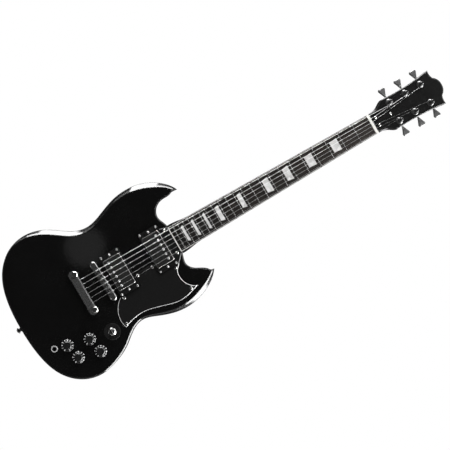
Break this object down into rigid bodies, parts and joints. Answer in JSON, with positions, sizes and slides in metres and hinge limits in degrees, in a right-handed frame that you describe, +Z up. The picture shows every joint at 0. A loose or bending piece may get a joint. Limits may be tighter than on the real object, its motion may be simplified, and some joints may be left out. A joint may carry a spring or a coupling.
{
  "type": "electric guitar",
  "caption": "Solid-body electric guitar with two bevelled horns, two covered pickups, stop tailpiece, turning knobs, switch and geared tuners.",
  "frame": {"origin": "seat of the end strap button, on the body's centre line at mid thickness", "axes": "+Z up the neck to the headstock, -Y out of the playing face, +X to the treble side"},
  "size_m": [0.322, 0.1076, 1.0038],
  "materials": {
    "black_lacquer": "gloss lacquer over wood",
    "neck_lacquer": "gloss lacquer over wood",
    "black_veneer": "gloss lacquer",
    "rosewood": "open-pored satin",
    "binding": "polished",
    "pearl": "pearloid",
    "fret_metal": "polished",
    "bone": "satin",
    "steel": "plain",
    "nickel": "polished",
    "black_plastic": "gloss",
    "guard_plastic": "gloss, white core",
    "bobbin_plastic": "plain",
    "string_wound": "wound",
    "string_plain": "drawn",
    "brass": "plain",
    "magnet": "ground",
    "knob_plastic": "gloss with pale numbers",
    "button_metal": "satin",
    "switch_plastic": "gloss"
  },
  "bodies": {
    "guitar": {"body": "black_lacquer", "control_cavity_cover": "black_plastic", "neck": "neck_lacquer", "headstock_overlay": "black_veneer", "inlays": "pearl", "frets": "fret_metal", "fingerboard": "rosewood", "fingerboard_binding": "binding", "nut": "bone", "truss_rod": "steel", "truss_rod_cover": "black_plastic", "wood_screws": "nickel", "pickguard": "guard_plastic", "bridge_pickup_ring": "black_plastic", "neck_pickup_ring": "black_plastic", "pickup_ring_screws": "nickel", "bridge_pickup_cover": "nickel", "neck_pickup_cover": "nickel", "pickup_bobbins": "bobbin_plastic", "pickup_magnets": "magnet", "pickup_baseplates": "brass", "pickup_pole_screws": "nickel", "pickup_height_screws": "nickel", "pickup_springs": "steel", "bridge_base": "nickel", "bridge_saddles": "nickel", "bridge_adjusting_screws": "nickel", "bridge_posts": "nickel", "tailpiece_bar": "nickel", "tailpiece_studs": "nickel", "tailpiece_bushings": "nickel", "wound_strings": "string_wound", "plain_strings": "string_plain", "string_ball_ends": "brass", "jack_body": "steel", "jack_nut": "nickel", "strap_buttons": "nickel", "switch_body": "steel", "switch_nut": "nickel", "switch_washer": "switch_plastic", "potentiometers": "steel", "tuner_housings": "nickel", "tuner_bushings": "nickel"},
    "bridge_tone_knob": {"bridge_tone_knob": "knob_plastic"},
    "neck_tone_knob": {"neck_tone_knob": "knob_plastic"},
    "bridge_volume_knob": {"bridge_volume_knob": "knob_plastic"},
    "neck_volume_knob": {"neck_volume_knob": "knob_plastic"},
    "switch_lever": {"switch_lever": "switch_plastic"},
    "tuner_post_bass_outer": {"tuner_post_bass_outer": "nickel"},
    "tuner_button_bass_outer": {"tuner_button_bass_outer": "button_metal"},
    "tuner_post_bass_middle": {"tuner_post_bass_middle": "nickel"},
    "tuner_button_bass_middle": {"tuner_button_bass_middle": "button_metal"},
    "tuner_post_bass_inner": {"tuner_post_bass_inner": "nickel"},
    "tuner_button_bass_inner": {"tuner_button_bass_inner": "button_metal"},
    "tuner_post_treble_inner": {"tuner_post_treble_inner": "nickel"},
    "tuner_button_treble_inner": {"tuner_button_treble_inner": "button_metal"},
    "tuner_post_treble_middle": {"tuner_post_treble_middle": "nickel"},
    "tuner_button_treble_middle": {"tuner_button_treble_middle": "button_metal"},
    "tuner_post_treble_outer": {"tuner_post_treble_outer": "nickel"},
    "tuner_button_treble_outer": {"tuner_button_treble_outer": "button_metal"}
  },
  "joints": [
    {"name": "bridge_tone_turn", "type": "hinge", "parent": "guitar", "child": "bridge_tone_knob", "pos_m": [0.0755, -0.026, 0.0655], "axis": [0, -1, 0], "range_deg": [0, 300]},
    {"name": "neck_tone_turn", "type": "hinge", "parent": "guitar", "child": "neck_tone_knob", "pos_m": [0.1075, -0.026, 0.073], "axis": [0, -1, 0], "range_deg": [0, 300]},
    {"name": "bridge_volume_turn", "type": "hinge", "parent": "guitar", "child": "bridge_volume_knob", "pos_m": [0.087, -0.026, 0.111], "axis": [0, -1, 0], "range_deg": [0, 300]},
    {"name": "neck_volume_turn", "type": "hinge", "parent": "guitar", "child": "neck_volume_knob", "pos_m": [0.1195, -0.026, 0.118], "axis": [0, -1, 0], "range_deg": [0, 300]},
    {"name": "switch_throw", "type": "hinge", "parent": "guitar", "child": "switch_lever", "pos_m": [0.097, -0.0175, 0.1575], "axis": [1, 0, 0], "range_deg": [-13, 13]},
    {"name": "bass_outer_button_turn", "type": "hinge", "parent": "guitar", "child": "tuner_button_bass_outer", "pos_m": [-0.04, 0.03851, 0.87875], "axis": [-1, 0, 0], "continuous": true},
    {"name": "bass_outer_post_turn", "type": "hinge", "parent": "guitar", "child": "tuner_post_bass_outer", "pos_m": [-0.0215, 0.01227, 0.87818], "axis": [0, -0.9588, 0.284], "continuous": true},
    {"name": "bass_middle_button_turn", "type": "hinge", "parent": "guitar", "child": "tuner_button_bass_middle", "pos_m": [-0.04, 0.04976, 0.91672], "axis": [-1, 0, 0], "continuous": true},
    {"name": "bass_middle_post_turn", "type": "hinge", "parent": "guitar", "child": "tuner_post_bass_middle", "pos_m": [-0.0215, 0.02352, 0.91615], "axis": [0, -0.9588, 0.284], "continuous": true},
    {"name": "bass_inner_button_turn", "type": "hinge", "parent": "guitar", "child": "tuner_button_bass_inner", "pos_m": [-0.04, 0.06089, 0.95431], "axis": [-1, 0, 0], "continuous": true},
    {"name": "bass_inner_post_turn", "type": "hinge", "parent": "guitar", "child": "tuner_post_bass_inner", "pos_m": [-0.0215, 0.03465, 0.95374], "axis": [0, -0.9588, 0.284], "continuous": true},
    {"name": "treble_inner_button_turn", "type": "hinge", "parent": "guitar", "child": "tuner_button_treble_inner", "pos_m": [0.04, 0.06089, 0.95431], "axis": [1, 0, 0], "continuous": true},
    {"name": "treble_inner_post_turn", "type": "hinge", "parent": "guitar", "child": "tuner_post_treble_inner", "pos_m": [0.0215, 0.03465, 0.95374], "axis": [0, -0.9588, 0.284], "continuous": true},
    {"name": "treble_middle_button_turn", "type": "hinge", "parent": "guitar", "child": "tuner_button_treble_middle", "pos_m": [0.04, 0.04976, 0.91672], "axis": [1, 0, 0], "continuous": true},
    {"name": "treble_middle_post_turn", "type": "hinge", "parent": "guitar", "child": "tuner_post_treble_middle", "pos_m": [0.0215, 0.02352, 0.91615], "axis": [0, -0.9588, 0.284], "continuous": true},
    {"name": "treble_outer_button_turn", "type": "hinge", "parent": "guitar", "child": "tuner_button_treble_outer", "pos_m": [0.04, 0.03851, 0.87875], "axis": [1, 0, 0], "continuous": true},
    {"name": "treble_outer_post_turn", "type": "hinge", "parent": "guitar", "child": "tuner_post_treble_outer", "pos_m": [0.0215, 0.01227, 0.87818], "axis": [0, -0.9588, 0.284], "continuous": true}
  ],
  "couplings": [
    {"joint": "bass_outer_post_turn", "follows": "bass_outer_button_turn", "ratio": 0.0625},
    {"joint": "bass_middle_post_turn", "follows": "bass_middle_button_turn", "ratio": 0.0625},
    {"joint": "bass_inner_post_turn", "follows": "bass_inner_button_turn", "ratio": 0.0625},
    {"joint": "treble_inner_post_turn", "follows": "treble_inner_button_turn", "ratio": -0.0625},
    {"joint": "treble_middle_post_turn", "follows": "treble_middle_button_turn", "ratio": -0.0625},
    {"joint": "treble_outer_post_turn", "follows": "treble_outer_button_turn", "ratio": -0.0625}
  ]
}
